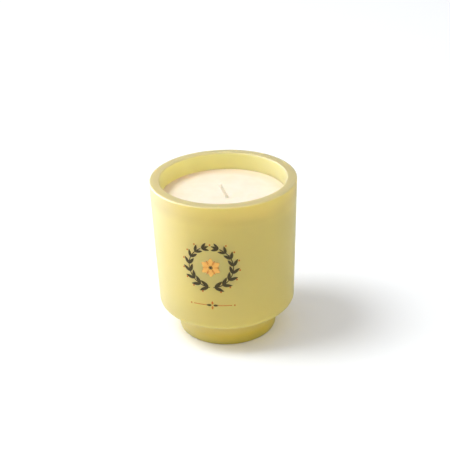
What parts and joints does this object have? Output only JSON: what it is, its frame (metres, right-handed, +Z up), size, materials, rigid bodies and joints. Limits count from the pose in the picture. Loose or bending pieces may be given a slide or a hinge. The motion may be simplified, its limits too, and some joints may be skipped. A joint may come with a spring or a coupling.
{
  "type": "scented candle in a footed glass tumbler",
  "caption": "Poured wax candle with a cotton wick in a thick-walled, footed, satin yellow glass tumbler with a flat rim.",
  "frame": {"origin": "centre of the foot's underside, on the surface the candle stands on", "axes": "+Z up along the tumbler's axis, -Y towards the front, +X to the right of someone who faces it. The print's middle is 12 degrees round from -Y towards -X, and the wick's tip leans towards -X"},
  "size_m": [0.08, 0.08, 0.09],
  "materials": {
    "satin_glass": "satin, translucent pale yellow",
    "candle_wax": "smooth cast wax with a soft sheen",
    "wick_cotton": "waxed flat braid",
    "tab_steel": "tinned sheet",
    "sticker_foam": "white adhesive foam",
    "print_dark": "fired screen-print ink",
    "print_orange": "fired screen-print ink"
  },
  "bodies": {
    "root": {"glass_vessel": "satin_glass", "wax_fill": "candle_wax", "wick": "wick_cotton", "wick_tab": "tab_steel", "wick_sticker": "sticker_foam"}
  },
  "joints": []
}
